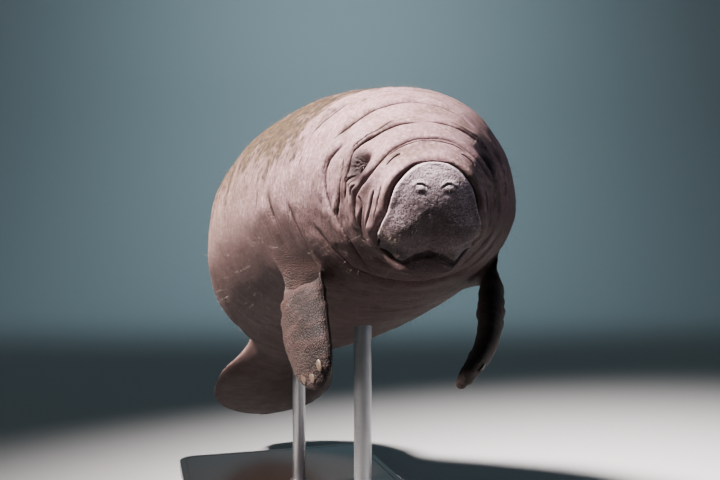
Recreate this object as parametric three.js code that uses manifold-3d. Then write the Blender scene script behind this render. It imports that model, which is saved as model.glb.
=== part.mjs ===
// A West Indian manatee at life size, swimming slowly with its head turned to its right, its flippers
// hanging and its tail low, held by a plain stand of a flat base and two rods.
// Millimetres, +Z up, head towards -Y, the animal's left at +X. The origin is the middle of the base's
// underside. The body is one form along a spine, parted by thin cuts where a person would name its parts.

import * as THREE from 'three';
import { mergeVertices } from 'three/addons/utils/BufferGeometryUtils.js';
import Module from 'manifold-3d';

const wasm = await Module();
wasm.setup();

// Thin cut between neighbouring pieces.
const GAP = 0.3;

// The spine starts at the front of the muzzle. For each station: the distance along the spine, the half
// width, the height above and the depth below the spine, how full the section is above and below it (2 is
// an ellipse), and the spine's pitch (tail down) and yaw (tail towards the animal's left) in degrees.
const SPINE_START = new THREE.Vector3(-101, -1250, 1120);
const STATIONS = [
  { name: 'lips', at: 40, width: 96, above: 94, below: 90, full: 2.4, fullBelow: 3.2, pitch: -14, yaw: 13 },
  { name: 'snout', at: 90, width: 122, above: 122, below: 120, full: 2.25, fullBelow: 2.6, pitch: -12, yaw: 13 },
  { name: 'eyes', at: 175, width: 155, above: 158, below: 150, full: 2.1, fullBelow: 2.1, pitch: -8, yaw: 12 },
  { name: 'cheeks', at: 300, width: 218, above: 218, below: 195, full: 2.05, fullBelow: 2.05, pitch: -3, yaw: 10 },
  { name: 'nape', at: 420, width: 283, above: 268, below: 232, full: 2.05, fullBelow: 2, pitch: 3, yaw: 7 },
  { name: 'shoulders', at: 620, width: 356, above: 327, below: 265, full: 2.1, fullBelow: 2, pitch: 8, yaw: 3 },
  { name: 'chest', at: 850, width: 400, above: 378, below: 290, full: 2.2, fullBelow: 2, pitch: 12, yaw: 0 },
  { name: 'belly', at: 1150, width: 422, above: 412, below: 295, full: 2.3, fullBelow: 2, pitch: 16, yaw: 0 },
  { name: 'flank', at: 1450, width: 390, above: 372, below: 278, full: 2.25, fullBelow: 2, pitch: 21, yaw: 0 },
  { name: 'loins', at: 1750, width: 297, above: 262, below: 216, full: 2.1, fullBelow: 2, pitch: 27, yaw: 0 },
  { name: 'vent', at: 1980, width: 205, above: 166, below: 156, full: 2, fullBelow: 2, pitch: 31, yaw: 0 },
  { name: 'stock', at: 2130, width: 167, above: 114, below: 112, full: 1.9, fullBelow: 1.9, pitch: 33, yaw: 0 },
  { name: 'paddle root', at: 2260, width: 195, above: 80, below: 80, full: 1.8, fullBelow: 1.8, pitch: 35, yaw: 0 },
  { name: 'paddle middle', at: 2430, width: 265, above: 52, below: 52, full: 1.75, fullBelow: 1.75, pitch: 37, yaw: 0 },
  { name: 'paddle widest', at: 2600, width: 290, above: 36, below: 36, full: 1.75, fullBelow: 1.75, pitch: 38, yaw: 0 },
  { name: 'paddle tip', at: 2900, width: 290, above: 20, below: 20, full: 1.75, fullBelow: 1.75, pitch: 38, yaw: 0 },
];
const SPINE_STEP = 5;

// The muzzle's disc is a low dome in front of the lips, and the paddle ends in a half ellipse.
const DISC_RIM = 40;
const DISC_DOME = 40;
const PADDLE_WIDEST = 2600;
const PADDLE_TIP = 2900;

// Where the body is parted, as distances along the spine.
const CUTS = { muzzle: 95, head: 300, neck: 470, chest: 960, belly: 1500, loins: 1980, stock: 2250 };

const BODY_SIDES = 40;
const HEAD_STEP = 21;
const TRUNK_STEP = 76;
const PADDLE_STEP = 60;
const DOME_ROWS = 6;

// Ring-like folds of the head: the groove behind the disc's rim, the roll over it, and the creases of
// brow, cheek and nape. Each runs round the body and fades towards its lower end.
const FOLDS = [
  { name: 'disc groove', at: 58, slant: 0, depth: 11, half: 9, reach: 150 },
  { name: 'brow groove', at: 94, slant: 55, depth: 8, half: 11, reach: 130 },
  { name: 'eye fold', at: 222, slant: 16, depth: 7, half: 14, reach: 120 },
  { name: 'nape crease', at: 372, slant: 40, depth: 9, half: 20, reach: 150 },
  { name: 'shoulder fold', at: 520, slant: 20, depth: 9, half: 26, reach: 140 },
];

// Eyes: a hollow in the side of the head, with the eyeball deep in it.
const EYE_AT = 160;
const EYE_ROUND = 67;
const EYE_RADIUS = 10.5;
const EYE_HOLLOW = 13;
const EYE_HOLLOW_SIZE = 22;
const EYE_STANDS_OUT = 5;

// Nostrils, on the upper part of the disc, as places across and above the spine's start.
const NOSTRIL = { aside: 28, above: 47, width: 11, height: 5.5, depth: 10 };

// The lower jaw is a rounded chin pad under the disc.
const JAW = { at: 122, below: 112, width: 74, length: 82, height: 46 };

// Flippers: shoulder, elbow, wrist, knuckles and tip, with half chord and half thickness at each.
const FLIPPER_JOINTS = {
  left: [[233, -690, 1113], [264, -730, 1006], [238, -785, 898], [198, -840, 803], [108, -885, 714]],
  right: [[-220, -690, 1110], [-241, -730, 1010], [-255, -785, 909], [-253, -840, 820], [-239, -885, 728]],
};
const FLIPPER_CHORD = { left: new THREE.Vector3(-0.42, -0.9, 0.1), right: new THREE.Vector3(0.42, -0.9, 0.1) };
const FLIPPER_SECTIONS = [[75, 60], [88, 46], [85, 34], [80, 27], [66, 18]];
const FLIPPER_SIDES = 20;
const FLIPPER_ROWS = 18;
const FLIPPER_ROUND_FROM = 0.82;
const NAILS = [{ along: 0.9, across: 0.62 }, { along: 0.94, across: 0.12 }, { along: 0.92, across: -0.4 }];
const NAIL = { length: 15, width: 9, thickness: 4 };

// Stand: a rounded flat base, and two rods on round flanges up to the chest and the loins.
const BASE = { width: 900, length: 2300, thickness: 40, corner: 70 };
const ROD_RADIUS = 26;
const FLANGE = { radius: 85, thickness: 14 };
const RODS = { front: -420, rear: 520 };

const radians = THREE.MathUtils.degToRad;

// A smooth curve through one column of the stations that never overshoots between two of them.
function column(key) {
  const at = STATIONS.map((station) => station.at);
  const value = STATIONS.map((station) => station[key]);
  const last = at.length - 1;
  const rise = at.slice(1).map((x, i) => (value[i + 1] - value[i]) / (x - at[i]));
  const slope = value.map((_, i) => {
    if (i === 0 || i === last) return rise[Math.min(i, last - 1)];
    if (rise[i - 1] * rise[i] <= 0) return 0;
    const before = 2 * (at[i + 1] - at[i]) + (at[i] - at[i - 1]);
    const after = (at[i + 1] - at[i]) + 2 * (at[i] - at[i - 1]);
    return (before + after) / (before / rise[i - 1] + after / rise[i]);
  });
  return (s) => {
    if (s <= at[0]) return value[0];
    let i = 0;
    while (i < last - 1 && s > at[i + 1]) i += 1;
    const h = at[i + 1] - at[i];
    const t = (s - at[i]) / h;
    const fromStart = (2 * t - 3) * t * t + 1;
    return fromStart * value[i] + (1 - fromStart) * value[i + 1]
      + h * (((t - 2) * t + 1) * t * slope[i] + (t - 1) * t * t * slope[i + 1]);
  };
}
const widthAt = column('width');
const aboveAt = column('above');
const belowAt = column('below');
const fullAt = column('full');
const fullBelowAt = column('fullBelow');
const pitchAt = column('pitch');
const yawAt = column('yaw');

// Direction of the spine towards the tail.
function heading(s) {
  const pitch = radians(pitchAt(s));
  const yaw = radians(yawAt(s));
  return new THREE.Vector3(Math.sin(yaw) * Math.cos(pitch), Math.cos(yaw) * Math.cos(pitch), -Math.sin(pitch));
}

const spine = [SPINE_START.clone()];
for (let s = 0; s < PADDLE_TIP; s += SPINE_STEP) {
  const middle = heading(s + SPINE_STEP / 2).multiplyScalar(SPINE_STEP);
  spine.push(spine[spine.length - 1].clone().add(middle));
}

// The spine's point at s with its tailward, left and up directions.
function frameAt(s) {
  const i = Math.min(Math.floor(s / SPINE_STEP), spine.length - 2);
  const point = spine[i].clone().lerp(spine[i + 1], s / SPINE_STEP - i);
  const tailward = heading(s);
  const yaw = radians(yawAt(s));
  const left = new THREE.Vector3(Math.cos(yaw), -Math.sin(yaw), 0);
  return { point, tailward, left, up: left.clone().cross(tailward) };
}

const bell = (x) => Math.exp(-x * x);

// Depth in or out of the skin at distance s and angle turn, 0 on the back and 180 under the belly.
function relief(s, turn) {
  const round = Math.abs(turn);
  let depth = 0;
  for (const fold of FOLDS) {
    const centre = fold.at + fold.slant * (1 - Math.cos(radians(round))) / 2;
    const fade = THREE.MathUtils.smoothstep(fold.reach - round, -25, 25);
    depth -= fold.depth * fade * bell((s - centre) / fold.half);
  }
  const aside = radians(round - EYE_ROUND) * widthAt(s);
  depth -= EYE_HOLLOW * bell(Math.hypot(s - EYE_AT, aside) / EYE_HOLLOW_SIZE);
  return depth;
}

// A point of the skin: r is 1 on the skin and 0 on the spine, grow moves the skin outwards.
function bodyPoint(s, turn, r = 1, grow = 0) {
  const { point, left, up } = frameAt(s);
  const sine = Math.sin(radians(turn));
  const cosine = Math.cos(radians(turn));
  const power = 2 / (cosine > 0 ? fullAt(s) : fullBelowAt(s));
  const across = Math.sign(sine) * Math.abs(sine) ** power * widthAt(s);
  const high = Math.sign(cosine) * Math.abs(cosine) ** power * (cosine > 0 ? aboveAt(s) : belowAt(s));
  const reach = Math.hypot(across, high) || 1;
  const scale = r * (reach + relief(s, turn) + grow) / reach;
  return point.addScaledVector(left, -across * scale).addScaledVector(up, high * scale);
}

// Size of the ring at s, which closes round the disc's dome and round the paddle's end.
function ringSize(s) {
  if (s < DISC_RIM) return Math.sqrt(Math.max(0, 1 - ((DISC_RIM - s) / DISC_DOME) ** 2));
  if (s > PADDLE_WIDEST) return Math.sqrt(Math.max(0, 1 - ((s - PADDLE_WIDEST) / (PADDLE_TIP - PADDLE_WIDEST)) ** 2));
  return 1;
}

const evenRows = (from, to, step) => {
  const count = Math.ceil((to - from) / step);
  return Array.from({ length: count + 1 }, (_, i) => from + (to - from) * i / count);
};
const domeRows = Array.from({ length: DOME_ROWS }, (_, i) => {
  return DISC_RIM - DISC_DOME * Math.cos(radians(14 + 76 * i / DOME_ROWS));
});
const tipRows = Array.from({ length: DOME_ROWS }, (_, i) => {
  return PADDLE_WIDEST + (PADDLE_TIP - PADDLE_WIDEST) * Math.sin(radians(84 * (i + 1) / DOME_ROWS));
});

// Bends a closed cylinder: place(row, turn, r) gives the point for each of its vertices.
function bentCylinder(rows, sides, place) {
  const geometry = new THREE.CylinderGeometry(1, 1, 1, sides, rows - 1);
  const position = geometry.attributes.position;
  for (let i = 0; i < position.count; i += 1) {
    const x = position.getX(i);
    const z = position.getZ(i);
    const row = Math.round((0.5 - position.getY(i)) * (rows - 1));
    const turn = Math.round(Math.atan2(x, z) / (2 * Math.PI) * sides) * 360 / sides;
    const moved = place(row, turn, Math.round(Math.hypot(x, z)));
    position.setXYZ(i, moved.x, moved.y, moved.z);
  }
  return geometry;
}

// A length of the body through the given rows.
function bodyLength(rows, grow = 0) {
  const place = (row, turn, r) => bodyPoint(rows[row], turn, r * ringSize(rows[row]), grow);
  return bentCylinder(rows.length, BODY_SIDES, place);
}

// A closed mesh as a solid that can be cut, and back.
function solid(geometry) {
  const bare = geometry.clone();
  bare.deleteAttribute('normal');
  bare.deleteAttribute('uv');
  const merged = mergeVertices(bare, 1e-4);
  const vertProperties = new Float32Array(merged.attributes.position.array);
  const triVerts = new Uint32Array(merged.index.array);
  return new wasm.Manifold(new wasm.Mesh({ numProp: 3, vertProperties, triVerts }));
}
function surface(body) {
  const mesh = body.getMesh();
  const geometry = new THREE.BufferGeometry();
  geometry.setAttribute('position', new THREE.BufferAttribute(new Float32Array(mesh.vertProperties), 3));
  geometry.setIndex(new THREE.BufferAttribute(new Uint32Array(mesh.triVerts), 1));
  geometry.computeVertexNormals();
  return geometry;
}

const object = new THREE.Group();
const skin = () => new THREE.MeshStandardMaterial({ color: 0x8f8481, roughness: 0.7 });
const eyeball = () => new THREE.MeshStandardMaterial({ color: 0x14100e, roughness: 0.1 });
const nail = () => new THREE.MeshStandardMaterial({ color: 0xb3a594, roughness: 0.5 });
const paint = () => new THREE.MeshStandardMaterial({ color: 0x2b2d30, roughness: 0.45 });
const steel = () => new THREE.MeshStandardMaterial({ color: 0x9a9da1, roughness: 0.35, metalness: 1 });

function add(name, geometry, material) {
  const mesh = new THREE.Mesh(geometry, material);
  mesh.name = name;
  object.add(mesh);
}

// Eyeballs, each with its centre under the floor of its hollow.
function eyeCentre(turn) {
  const inward = frameAt(EYE_AT).point.sub(bodyPoint(EYE_AT, turn)).normalize();
  return bodyPoint(EYE_AT, turn).addScaledVector(inward, EYE_RADIUS - EYE_STANDS_OUT);
}
function ball(centre, radius) {
  return new THREE.SphereGeometry(radius, 14, 10).translate(centre.x, centre.y, centre.z);
}
const eyes = { left: eyeCentre(-EYE_ROUND), right: eyeCentre(EYE_ROUND) };

// An ellipsoid in the head's own directions.
function ellipsoid(centre, frame, across, along, high, sides = 24) {
  const axes = new THREE.Matrix4().makeBasis(frame.left, frame.tailward, frame.up).setPosition(centre);
  return new THREE.SphereGeometry(1, sides, sides / 2).scale(across, along, high).applyMatrix4(axes);
}

function jawSolid(grow) {
  const frame = frameAt(JAW.at);
  const centre = frame.point.clone().addScaledVector(frame.up, -JAW.below);
  return solid(ellipsoid(centre, frame, JAW.width + grow, JAW.length + grow, JAW.height + grow, 20));
}

function nostrilSolid(side) {
  const frame = frameAt(0);
  const centre = frame.point.clone().addScaledVector(frame.left, side * NOSTRIL.aside)
    .addScaledVector(frame.up, NOSTRIL.above).addScaledVector(frame.tailward, NOSTRIL.depth);
  return solid(ellipsoid(centre, frame, NOSTRIL.width, NOSTRIL.depth, NOSTRIL.height, 10));
}

// Muzzle, head and lower jaw: the jaw pad is set into both, and the eyes into the head.
function addHead() {
  const faceRows = [...domeRows, ...evenRows(DISC_RIM, CUTS.muzzle - GAP / 2, HEAD_STEP / 1.5)];
  const headRows = evenRows(CUTS.muzzle + GAP / 2, CUTS.head - GAP / 2, HEAD_STEP);
  let muzzle = solid(bodyLength(faceRows)).subtract(jawSolid(GAP));
  let head = solid(bodyLength(headRows)).subtract(jawSolid(GAP));
  for (const side of [-1, 1]) {
    muzzle = muzzle.subtract(nostrilSolid(side));
  }
  for (const centre of Object.values(eyes)) {
    head = head.subtract(solid(ball(centre, EYE_RADIUS + GAP)));
  }
  add('muzzle', surface(muzzle), skin());
  add('head', surface(head), skin());
  add('lower_jaw', surface(jawSolid(0)), skin());
  add('eye_left', ball(eyes.left, EYE_RADIUS), eyeball());
  add('eye_right', ball(eyes.right, EYE_RADIUS), eyeball());
}

// Neck, trunk and tail, as rows of rings between the cuts.
const TRUNK_ROWS = {
  neck: evenRows(CUTS.head + GAP / 2, CUTS.neck - GAP / 2, HEAD_STEP * 1.5),
  chest: evenRows(CUTS.neck + GAP / 2, CUTS.chest - GAP / 2, TRUNK_STEP),
  belly: evenRows(CUTS.chest + GAP / 2, CUTS.belly - GAP / 2, TRUNK_STEP),
  loins: evenRows(CUTS.belly + GAP / 2, CUTS.loins - GAP / 2, TRUNK_STEP),
  tail_stock: evenRows(CUTS.loins + GAP / 2, CUTS.stock - GAP / 2, TRUNK_STEP),
  tail_paddle: [...evenRows(CUTS.stock + GAP / 2, PADDLE_WIDEST, PADDLE_STEP), ...tipRows],
};
function addTrunk() {
  for (const [name, rows] of Object.entries(TRUNK_ROWS)) {
    add(name, bodyLength(rows), skin());
  }
}

// The trunk from nape to tail in one, grown by the gap, which cuts what meets the body.
const trunk = solid(bodyLength(Object.values(TRUNK_ROWS).flat(), GAP));

// A flipper's centre line, section sizes and directions at t from 0 (shoulder) to 1 (tip).
function flipperShape(side) {
  const joints = FLIPPER_JOINTS[side].map((place) => new THREE.Vector3(...place));
  const sections = FLIPPER_SECTIONS.map(([chord, thick]) => new THREE.Vector3(chord, thick, 0));
  const line = new THREE.CatmullRomCurve3(joints, false, 'catmullrom');
  const sizes = new THREE.CatmullRomCurve3(sections, false, 'catmullrom');
  return (t, turn, r = 1, grow = 0) => {
    const tangent = line.getTangent(t);
    const chord = FLIPPER_CHORD[side].clone().projectOnPlane(tangent).normalize();
    const inward = tangent.clone().cross(chord).multiplyScalar(side === 'left' ? 1 : -1);
    const size = sizes.getPoint(t);
    const round = Math.max(0, (t - FLIPPER_ROUND_FROM) / (1 - FLIPPER_ROUND_FROM));
    const end = Math.sqrt(Math.max(0.004, 1 - round * round));
    const across = Math.cos(radians(turn)) * (size.x * end + grow) * r;
    const thick = Math.sin(radians(turn)) * (size.y * (0.35 + 0.65 * end) + grow) * r;
    const point = line.getPoint(t).addScaledVector(chord, across).addScaledVector(inward, thick);
    return { point, tangent, inward };
  };
}

function flipperSolid(side, grow) {
  const shape = flipperShape(side);
  const rows = FLIPPER_ROWS;
  const along = (row) => (row < rows - 6 ? row * FLIPPER_ROUND_FROM / (rows - 6)
    : FLIPPER_ROUND_FROM + (1 - FLIPPER_ROUND_FROM) * Math.sin(radians(86 * (row - rows + 6) / 5)));
  const direction = side === 'left' ? -1 : 1;
  return solid(bentCylinder(rows, FLIPPER_SIDES, (row, turn, r) => shape(along(row), direction * turn, r, grow).point));
}

// Each flipper starts at the trunk's side, and has three nails on the outer face of its end.
function addFlipper(side) {
  add(`flipper_${side}`, surface(flipperSolid(side, 0).subtract(trunk)), skin());
  const shape = flipperShape(side);
  const blade = flipperSolid(side, GAP);
  NAILS.forEach(({ along, across }, i) => {
    const turn = -THREE.MathUtils.radToDeg(Math.acos(across));
    const { point, tangent, inward } = shape(along, turn);
    const axes = new THREE.Matrix4().makeBasis(tangent, inward, tangent.clone().cross(inward)).setPosition(point);
    const whole = new THREE.SphereGeometry(1, 8, 6).scale(NAIL.length, NAIL.thickness, NAIL.width).applyMatrix4(axes);
    add(`nail_${side}_${i + 1}`, surface(solid(whole).subtract(blade)), nail());
  });
}

// A round bar or disc standing between two heights over the base's middle line.
function upright(radius, from, to, place) {
  return new THREE.CylinderGeometry(radius, radius, to - from, 32).rotateX(Math.PI / 2)
    .translate(0, place, (from + to) / 2);
}

function addStand() {
  const x = BASE.width / 2;
  const y = BASE.length / 2;
  const outline = new THREE.Shape();
  outline.moveTo(-x + BASE.corner, -y);
  outline.lineTo(x - BASE.corner, -y);
  outline.absarc(x - BASE.corner, -y + BASE.corner, BASE.corner, -Math.PI / 2, 0);
  outline.absarc(x - BASE.corner, y - BASE.corner, BASE.corner, 0, Math.PI / 2);
  outline.absarc(-x + BASE.corner, y - BASE.corner, BASE.corner, Math.PI / 2, Math.PI);
  outline.absarc(-x + BASE.corner, -y + BASE.corner, BASE.corner, Math.PI, Math.PI * 1.5);
  add('stand_base', new THREE.ExtrudeGeometry(outline, { depth: BASE.thickness, bevelEnabled: false, curveSegments: 8 }), paint());
  for (const [name, place] of Object.entries(RODS)) {
    const foot = BASE.thickness + GAP;
    const start = foot + FLANGE.thickness + GAP;
    const end = spine.find((point) => point.y > place).z;
    add(`stand_flange_${name}`, upright(FLANGE.radius, foot, foot + FLANGE.thickness, place), steel());
    add(`stand_rod_${name}`, surface(solid(upright(ROD_RADIUS, start, end, place)).subtract(trunk)), steel());
  }
}

addHead();
addTrunk();
addFlipper('left');
addFlipper('right');
addStand();

export default object;
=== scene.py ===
# A life-size museum model of a West Indian manatee, swimming with its head turned to its right, on a
# plain display stand. Metres, +Z up, the head towards -Y and the animal's left at +X.
import math

import bmesh
import bpy
import numpy as np
from mathutils import Matrix, Vector, noise


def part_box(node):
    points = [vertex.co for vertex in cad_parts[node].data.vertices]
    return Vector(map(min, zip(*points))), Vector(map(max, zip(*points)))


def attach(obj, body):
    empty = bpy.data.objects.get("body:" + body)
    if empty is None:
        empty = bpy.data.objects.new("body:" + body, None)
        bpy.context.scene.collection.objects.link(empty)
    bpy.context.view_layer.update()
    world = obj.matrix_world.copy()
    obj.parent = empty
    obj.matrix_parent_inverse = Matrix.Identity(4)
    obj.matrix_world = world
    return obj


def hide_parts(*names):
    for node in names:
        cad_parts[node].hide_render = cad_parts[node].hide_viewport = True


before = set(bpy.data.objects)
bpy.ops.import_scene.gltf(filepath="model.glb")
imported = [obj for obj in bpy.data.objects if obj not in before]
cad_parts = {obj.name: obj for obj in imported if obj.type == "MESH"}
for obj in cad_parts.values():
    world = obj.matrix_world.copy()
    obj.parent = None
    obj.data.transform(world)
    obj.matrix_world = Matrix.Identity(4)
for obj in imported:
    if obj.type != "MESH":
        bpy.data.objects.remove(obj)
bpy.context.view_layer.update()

# The skin, a single cast of painted resin over the whole body. The real animal is a stout spindle that
# ends in a flat round paddle, with a blunt head that is one line with the neck. Its form is given as rings
# along a bent spine, in millimetres: distance from the front of the muzzle, half width, height above and
# depth below the spine, how full the section is above and below, and the spine's pitch and yaw in degrees.
MM = 0.001
SPINE_START = (-101, -1250, 1120)
STATIONS = {
    "lips": (40, 96, 94, 90, 2.4, 3.2, -14, 13),
    "snout": (90, 122, 122, 120, 2.25, 2.6, -12, 13),
    "eyes": (175, 155, 158, 150, 2.1, 2.1, -8, 12),
    "cheeks": (300, 218, 218, 195, 2.05, 2.05, -3, 10),
    "nape": (420, 283, 268, 232, 2.05, 2, 3, 7),
    "shoulders": (620, 356, 327, 265, 2.1, 2, 8, 3),
    "chest": (850, 400, 378, 290, 2.2, 2, 12, 0),
    "belly": (1150, 422, 412, 295, 2.3, 2, 16, 0),
    "flank": (1450, 390, 372, 278, 2.25, 2, 21, 0),
    "loins": (1750, 297, 262, 216, 2.1, 2, 27, 0),
    "vent": (1980, 205, 166, 156, 2, 2, 31, 0),
    "stock": (2130, 167, 114, 112, 1.9, 1.9, 33, 0),
    "paddle root": (2260, 195, 80, 80, 1.8, 1.8, 35, 0),
    "paddle middle": (2430, 265, 52, 52, 1.75, 1.75, 37, 0),
    "paddle widest": (2600, 290, 36, 36, 1.75, 1.75, 38, 0),
    "paddle tip": (2900, 290, 20, 20, 1.75, 1.75, 38, 0),
}
DISC_RIM, DISC_DOME = 40, 40
PADDLE_WIDEST, PADDLE_TIP = 2600, 2900
SPINE_STEP = 2.0


def column(index):
    """A smooth curve through one column of the stations that never overshoots between two of them."""
    at = np.array([row[0] for row in STATIONS.values()], float)
    value = np.array([row[index] for row in STATIONS.values()], float)
    gap = np.diff(at)
    rise = np.diff(value) / gap
    slope = np.concatenate([rise[:1], np.zeros(len(rise) - 1), rise[-1:]])
    for i in range(1, len(rise)):
        if rise[i - 1] * rise[i] > 0:
            before, after = 2 * gap[i] + gap[i - 1], gap[i] + 2 * gap[i - 1]
            slope[i] = (before + after) / (before / rise[i - 1] + after / rise[i])

    def curve(s):
        s = np.clip(s, at[0], at[-1])
        i = np.clip(np.searchsorted(at, s) - 1, 0, len(gap) - 1)
        t = (s - at[i]) / gap[i]
        start = (2 * t - 3) * t * t + 1
        bend = ((t - 2) * t + 1) * t * slope[i] + (t - 1) * t * t * slope[i + 1]
        return start * value[i] + (1 - start) * value[i + 1] + gap[i] * bend
    return curve


width_at, above_at, below_at, full_at, full_below_at, pitch_at, yaw_at = (column(i) for i in range(1, 8))


def heading(s):
    """The spine's direction towards the tail."""
    pitch, yaw = np.radians(pitch_at(s)), np.radians(yaw_at(s))
    return np.stack([np.sin(yaw) * np.cos(pitch), np.cos(yaw) * np.cos(pitch), -np.sin(pitch)], -1)


spine_at = np.arange(0, PADDLE_TIP + SPINE_STEP, SPINE_STEP)
spine_moves = heading(spine_at[:-1] + SPINE_STEP / 2) * SPINE_STEP
spine = np.vstack([SPINE_START, SPINE_START + np.cumsum(spine_moves, 0)])


def frame_at(s):
    """The spine's points, and its tailward, left and up directions."""
    point = np.stack([np.interp(s, spine_at, spine[:, k]) for k in range(3)], -1)
    tailward, yaw = heading(s), np.radians(yaw_at(s))
    left = np.stack([np.cos(yaw), -np.sin(yaw), 0 * yaw], -1)
    return point, tailward, left, np.cross(left, tailward)


def ring_size(s):
    """Rings close round the disc's low dome and round the paddle's end."""
    front = np.sqrt(np.clip(1 - ((DISC_RIM - s) / DISC_DOME) ** 2, 0, 1))
    back = np.sqrt(np.clip(1 - ((s - PADDLE_WIDEST) / (PADDLE_TIP - PADDLE_WIDEST)) ** 2, 0, 1))
    return np.where(s < DISC_RIM, front, np.where(s > PADDLE_WIDEST, back, 1.0))


def body_point(s, turn, r=None):
    """Points of the smooth body in mm: turn is 0 on the back, 90 on the animal's right, 180 underneath."""
    s, turn = np.atleast_1d(s).astype(float), np.radians(np.atleast_1d(turn).astype(float))
    r = ring_size(s) if r is None else r
    point, _, left, up = frame_at(s)
    sine, cosine = np.sin(turn), np.cos(turn)
    power = 2 / np.where(cosine > 0, full_at(s), full_below_at(s))
    across = np.sign(sine) * np.abs(sine) ** power * width_at(s)
    high = np.sign(cosine) * np.abs(cosine) ** power * np.where(cosine > 0, above_at(s), below_at(s))
    return point - left * (across * r)[:, None] + up * (high * r)[:, None]


# The flippers are jointed paddles of flesh that hang from the shoulders. Each is given by shoulder, elbow,
# wrist, knuckles and tip, the half width and half thickness there, and where its front edge faces.
FLIPPER_JOINTS = {
    "left": ((233, -690, 1113), (264, -730, 1006), (238, -785, 898), (198, -840, 803), (108, -885, 714)),
    "right": ((-220, -690, 1110), (-241, -730, 1010), (-255, -785, 909), (-253, -840, 820),
              (-239, -885, 728)),
}
FLIPPER_FRONT = {"left": (-0.42, -0.9, 0.1), "right": (0.42, -0.9, 0.1)}
FLIPPER_SECTIONS = ((75, 60), (88, 46), (85, 34), (80, 27), (66, 18))
FLIPPER_ROUND_FROM = 0.82


def catmull(points, t):
    """A point and its tangent on the curve through the points, t from 0 to 1."""
    points = np.array(points, float)
    padded = np.vstack([2 * points[0] - points[1], points, 2 * points[-1] - points[-2]])
    k = min(int(t * (len(points) - 1)), len(points) - 2)
    u = t * (len(points) - 1) - k
    a, b, c, d = padded[k:k + 4]
    square, cube = 2 * a - 5 * b + 4 * c - d, 3 * b - 3 * c + d - a
    place = 0.5 * (2 * b + (c - a) * u + square * u * u + cube * u ** 3)
    slope = 0.5 * ((c - a) + 2 * square * u + 3 * cube * u * u)
    return place, slope


def flipper_frame(side, t):
    """The flipper's centre, tangent, front and inward directions and half sizes at t."""
    place, slope = catmull(FLIPPER_JOINTS[side], t)
    tangent = slope / np.linalg.norm(slope)
    front = np.array(FLIPPER_FRONT[side])
    front = front - tangent * (front @ tangent)
    front /= np.linalg.norm(front)
    inward = np.cross(tangent, front) * (1 if side == "left" else -1)
    size, _ = catmull([(a, b, 0) for a, b in FLIPPER_SECTIONS], t)
    rounding = max(0.0, (t - FLIPPER_ROUND_FROM) / (1 - FLIPPER_ROUND_FROM))
    end = math.sqrt(max(0.004, 1 - rounding * rounding))
    return place, tangent, front, inward, size[0] * end, size[1] * (0.35 + 0.65 * end)


# The skin's cage: the disc of the muzzle is a square grid drawn round, the body grows from its edge ring by
# ring, and each flipper grows out of a patch of the shoulder. Every point keeps its distance along the
# spine and its place in the unit ring, so that the fine skin can be laid on the exact form.
RING_SIDES = 32
ROW_RUNS = ((40, 300, 9), (300, 470, 5), (470, 700, 6), (700, 2250, 19), (2250, 2600, 6))
TIP_ROWS, TIP_TURN = 6, 86
LAYERS = ("at", "across", "high", "limb", "along", "px", "py")

cage = bmesh.new()
keep = {name: cage.verts.layers.float.new(name) for name in LAYERS}
bmesh.ops.create_grid(cage, x_segments=RING_SIDES // 4, y_segments=RING_SIDES // 4, size=1.0)
for vert in cage.verts:
    x, y = vert.co.x, vert.co.y
    across, high = x * math.sqrt(1 - y * y / 2), y * math.sqrt(1 - x * x / 2)
    r = min(1.0, math.hypot(across, high))
    vert[keep["at"]] = DISC_RIM - DISC_DOME * math.sqrt(1 - r * r)
    vert[keep["across"]], vert[keep["high"]] = across, high

rows = np.concatenate([np.linspace(start, end, count + 1)[1:] for start, end, count in ROW_RUNS])
tip_turns = np.radians(np.arange(1, TIP_ROWS + 1) * TIP_TURN / TIP_ROWS)
tips = PADDLE_WIDEST + (PADDLE_TIP - PADDLE_WIDEST) * np.sin(tip_turns)
edges = [edge for edge in cage.edges if edge.is_boundary]
for s in [*rows, *tips]:
    made = bmesh.ops.extrude_edge_only(cage, edges=edges)["geom"]
    ring = {item for item in made if isinstance(item, bmesh.types.BMVert)}
    edges = [item for item in made if isinstance(item, bmesh.types.BMEdge) and ring.issuperset(item.verts)]
    for vert in ring:
        vert[keep["at"]] = s
bmesh.ops.edgeloop_fill(cage, edges=edges)

places = np.array([[v[keep["at"]], v[keep["across"]], v[keep["high"]]] for v in cage.verts])
turns = np.degrees(np.arctan2(places[:, 1], places[:, 2]))
for vert, co in zip(cage.verts, body_point(places[:, 0], turns) * MM):
    vert.co = co

FLIPPER_ROOTS = {"left": (-1, 585, 118.125), "right": (1, 515, 129.375)}
ROOT_REACH, ROOT_TURN = 66, 17
FLIPPER_STARTS, FLIPPER_ROWS = 0.36, 11


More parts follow.
